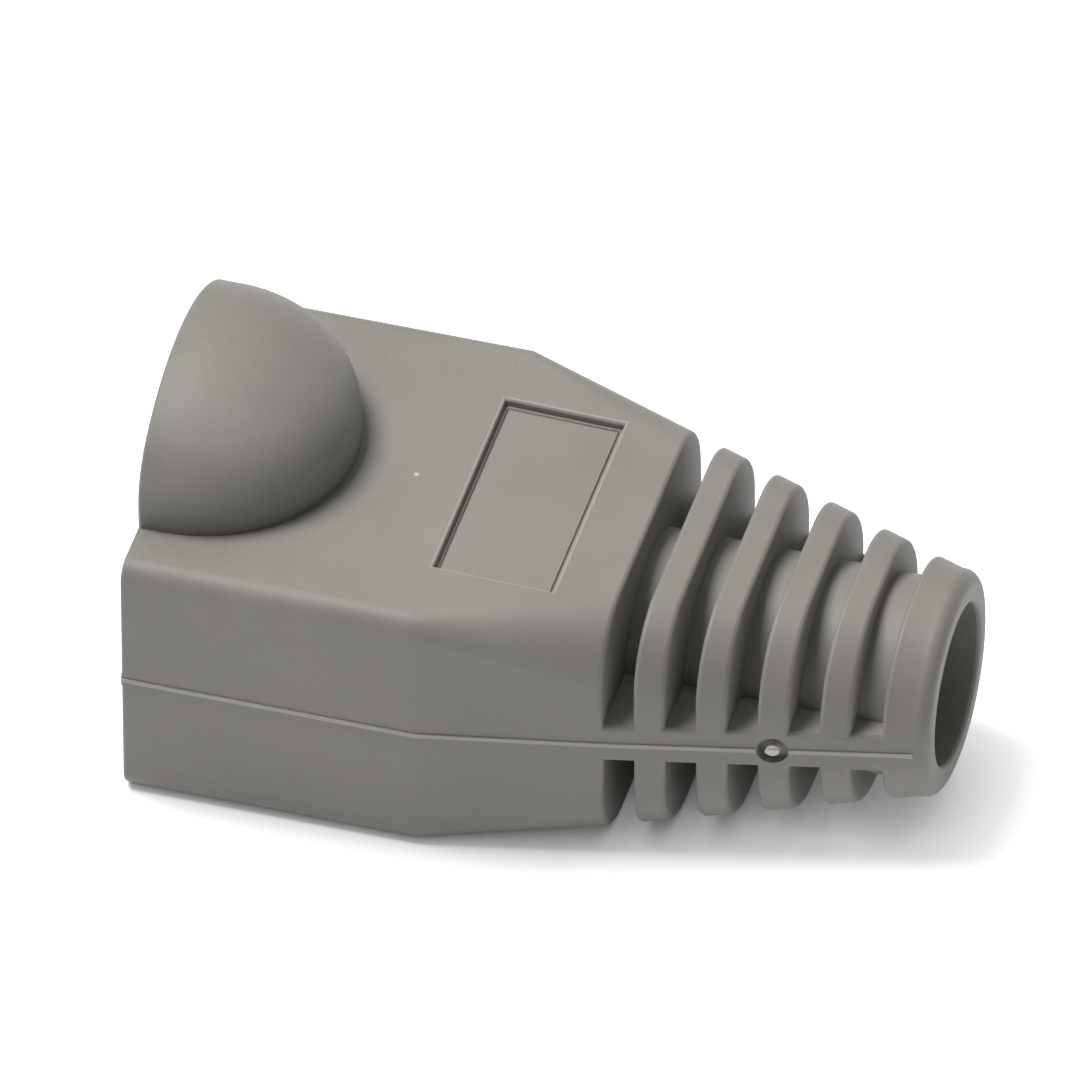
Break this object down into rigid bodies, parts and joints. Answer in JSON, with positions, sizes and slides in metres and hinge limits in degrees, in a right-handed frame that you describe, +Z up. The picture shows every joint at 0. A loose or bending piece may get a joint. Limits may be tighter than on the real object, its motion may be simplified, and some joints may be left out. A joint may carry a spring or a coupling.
{
  "type": "rj45 strain relief boot",
  "caption": "One-piece moulded sleeve that slips over a modular plug and its cable, with a latch dome at the mouth and a ribbed, slotted bend relief at the cable end.",
  "frame": {"origin": "on the floor under the middle of the boot's length and width, as it lies on its flat underside", "axes": "+X from the open mouth towards the cable end, along the cable bore; +Y across; +Z up, latch dome on top"},
  "size_m": [0.0264, 0.0146, 0.0143],
  "materials": {
    "soft_pvc": "matte moulded"
  },
  "bodies": {
    "root": {"strain_relief_boot": "soft_pvc"}
  },
  "joints": []
}
